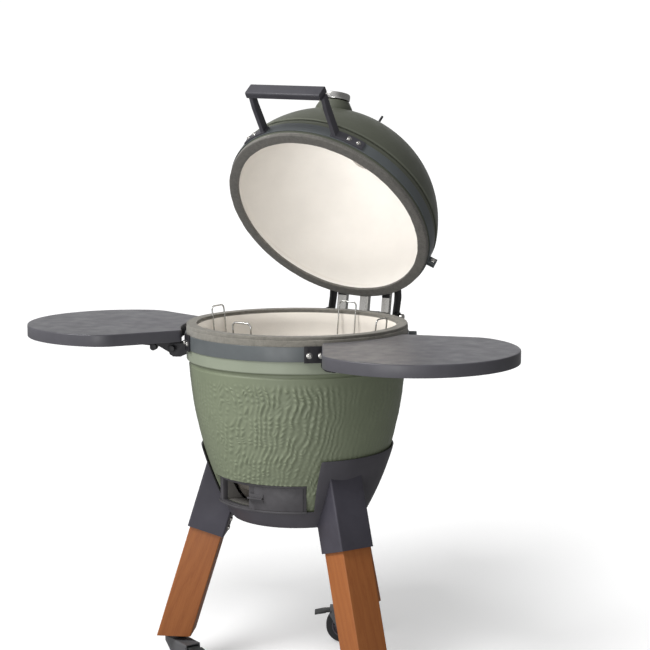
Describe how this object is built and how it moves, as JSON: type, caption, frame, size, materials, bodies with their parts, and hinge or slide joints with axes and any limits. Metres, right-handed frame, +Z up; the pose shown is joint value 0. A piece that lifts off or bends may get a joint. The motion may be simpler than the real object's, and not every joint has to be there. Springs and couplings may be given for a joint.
{
  "type": "ceramic kamado grill",
  "caption": "Egg-shaped green ceramic charcoal grill on a three-legged timber stand with casters, hinged lid standing open, and two round side shelves.",
  "frame": {"origin": "on the floor under the middle of the overall box; the bowl's axis is vertical at x = 0, y = -5.9 mm", "axes": "+Z up, -Y towards the front where the lower vent is, +X towards the right-hand shelf"},
  "size_m": [1.3468, 0.8324, 1.5271],
  "materials": {
    "green_ceramic": "satin sage-green glaze outside, cream bisque inside",
    "fire_ceramic": "unglazed cream refractory ceramic",
    "felt": "dark grey heat-proof felt",
    "band_steel": "satin black coated steel band",
    "powder_steel": "fine-textured anthracite powder coat",
    "shelf_powder": "fine-textured dark grey powder coat",
    "timber": "oiled orange-brown hardwood",
    "stainless": "brushed stainless steel",
    "spring_steel": "bright spring wire",
    "black_steel": "black coated steel",
    "cast_metal": "black coated casting, slightly rough",
    "handle_coat": "satin anthracite coat",
    "caster_metal": "grey coated pressed steel",
    "wheel_core": "dark grey moulded core",
    "tread": "black rubber tread",
    "pedal_plastic": "black moulded pedal",
    "dial_face": "white printed dial without lettering",
    "gauge_glass": "clear glass"
  },
  "bodies": {
    "stand": {"cradle_shell": "powder_steel", "leg_socket_front_left": "powder_steel", "leg_socket_front_right": "powder_steel", "leg_socket_rear": "powder_steel", "leg_front_left": "timber", "leg_front_right": "timber", "leg_rear": "timber", "leg_bolts": "stainless", "caster_mount_front_left": "black_steel", "caster_mount_front_right": "black_steel", "caster_mount_rear": "black_steel", "bowl": "green_ceramic", "bowl_gasket": "felt", "bowl_band": "band_steel", "band_bolts": "stainless", "vent_frame": "cast_metal", "firebox": "fire_ceramic", "fire_ring": "fire_ceramic", "charcoal_grate": "cast_metal", "hinge_bowl_bracket": "black_steel", "hinge_axle": "stainless", "hinge_springs": "spring_steel", "shelf_bracket_left": "powder_steel", "shelf_bracket_right": "powder_steel", "shelf_pins": "black_steel"},
    "lid": {"lid_dome": "green_ceramic", "lid_gasket": "felt", "lid_band": "band_steel", "lid_band_bolts": "stainless", "hinge_lid_bracket": "stainless", "hinge_lid_bolts": "black_steel", "handle_arms": "handle_coat", "handle_grip": "handle_coat", "thermometer_case": "stainless", "thermometer_dial": "dial_face", "thermometer_lens": "gauge_glass", "chimney_base": "cast_metal"},
    "chimney_cap": {"chimney_cap": "cast_metal"},
    "daisy_wheel": {"daisy_wheel": "cast_metal"},
    "vent_door": {"vent_door": "cast_metal"},
    "cooking_grid": {"cooking_grid": "stainless"},
    "shelf_left": {"shelf_top_left": "shelf_powder", "shelf_arms_left": "powder_steel"},
    "shelf_right": {"shelf_top_right": "shelf_powder", "shelf_arms_right": "powder_steel"},
    "caster_front_left": {"caster_fork_front_left": "caster_metal", "caster_axle_front_left": "caster_metal"},
    "wheel_front_left": {"wheel_hub_front_left": "wheel_core", "wheel_tyre_front_left": "tread"},
    "pedal_front_left": {"brake_pedal_front_left": "pedal_plastic"},
    "caster_front_right": {"caster_fork_front_right": "caster_metal", "caster_axle_front_right": "caster_metal"},
    "wheel_front_right": {"wheel_hub_front_right": "wheel_core", "wheel_tyre_front_right": "tread"},
    "pedal_front_right": {"brake_pedal_front_right": "pedal_plastic"},
    "caster_rear": {"caster_fork_rear": "caster_metal", "caster_axle_rear": "caster_metal"},
    "wheel_rear": {"wheel_hub_rear": "wheel_core", "wheel_tyre_rear": "tread"},
    "pedal_rear": {"brake_pedal_rear": "pedal_plastic"}
  },
  "joints": [
    {"name": "lid_hinge", "type": "hinge", "parent": "stand", "child": "lid", "pos_m": [0, 0.3212, 0.9154], "axis": [-1, 0, 0], "range_deg": [-51.44, 0], "stiffness_Nm_per_rad": 55, "springref_deg": 24.06},
    {"name": "chimney_cap_swing", "type": "hinge", "parent": "lid", "child": "chimney_cap", "pos_m": [0, 0.40179, 1.31355], "axis": [0, 0.782, 0.6233], "range_deg": [0, 75]},
    {"name": "daisy_wheel_turn", "type": "hinge", "parent": "chimney_cap", "child": "daisy_wheel", "pos_m": [0, 0.36409, 1.3679], "axis": [0, 0.782, 0.6233], "range_deg": [0, 36]},
    {"name": "vent_door_slide", "type": "hinge", "parent": "stand", "child": "vent_door", "pos_m": [0, -0.0059, 0.521], "axis": [0, 0, 1], "range_deg": [-36, 0]},
    {"name": "cooking_grid_lift", "type": "slide", "parent": "stand", "child": "cooking_grid", "axis": [0, 0, 1], "range_m": [0, 0.09]},
    {"name": "shelf_right_fold", "type": "hinge", "parent": "stand", "child": "shelf_right", "pos_m": [0.27462, -0.11088, 0.874], "axis": [0.3571, 0.9341, 0], "range_deg": [0, 90]},
    {"name": "shelf_left_fold", "type": "hinge", "parent": "stand", "child": "shelf_left", "pos_m": [-0.27462, -0.11088, 0.874], "axis": [0.3571, -0.9341, 0], "range_deg": [0, 90]},
    {"name": "caster_swivel_front_left", "type": "hinge", "parent": "stand", "child": "caster_front_left", "pos_m": [-0.2892, -0.14384, 0.098], "axis": [0, 0, 1], "continuous": true},
    {"name": "wheel_spin_front_left", "type": "hinge", "parent": "caster_front_left", "child": "wheel_front_left", "pos_m": [-0.24504, -0.16266, 0.047], "axis": [0.392, 0.92, 0], "continuous": true},
    {"name": "brake_pedal_front_left", "type": "hinge", "parent": "caster_front_left", "child": "pedal_front_left", "pos_m": [-0.21376, -0.17598, 0.0885], "axis": [-0.392, -0.92, 0], "range_deg": [0, 15]},
    {"name": "caster_swivel_front_right", "type": "hinge", "parent": "stand", "child": "caster_front_right", "pos_m": [0.2892, -0.14384, 0.098], "axis": [0, 0, 1], "continuous": true},
    {"name": "wheel_spin_front_right", "type": "hinge", "parent": "caster_front_right", "child": "wheel_front_right", "pos_m": [0.3036, -0.09805, 0.047], "axis": [-0.9539, 0.3, 0], "continuous": true},
    {"name": "brake_pedal_front_right", "type": "hinge", "parent": "caster_front_right", "child": "pedal_front_right", "pos_m": [0.3138, -0.06561, 0.0885], "axis": [0.9539, -0.3, 0], "range_deg": [0, 15]},
    {"name": "caster_swivel_rear", "type": "hinge", "parent": "stand", "child": "caster_rear", "pos_m": [-0.00871, 0.32659, 0.098], "axis": [0, 0, 1], "continuous": true},
    {"name": "wheel_spin_rear", "type": "hinge", "parent": "caster_rear", "child": "wheel_rear", "pos_m": [-0.04946, 0.3012, 0.047], "axis": [0.5288, -0.8487, 0], "continuous": true},
    {"name": "brake_pedal_rear", "type": "hinge", "parent": "caster_rear", "child": "pedal_rear", "pos_m": [-0.07832, 0.28321, 0.0885], "axis": [-0.5288, 0.8487, 0], "range_deg": [0, 15]}
  ]
}
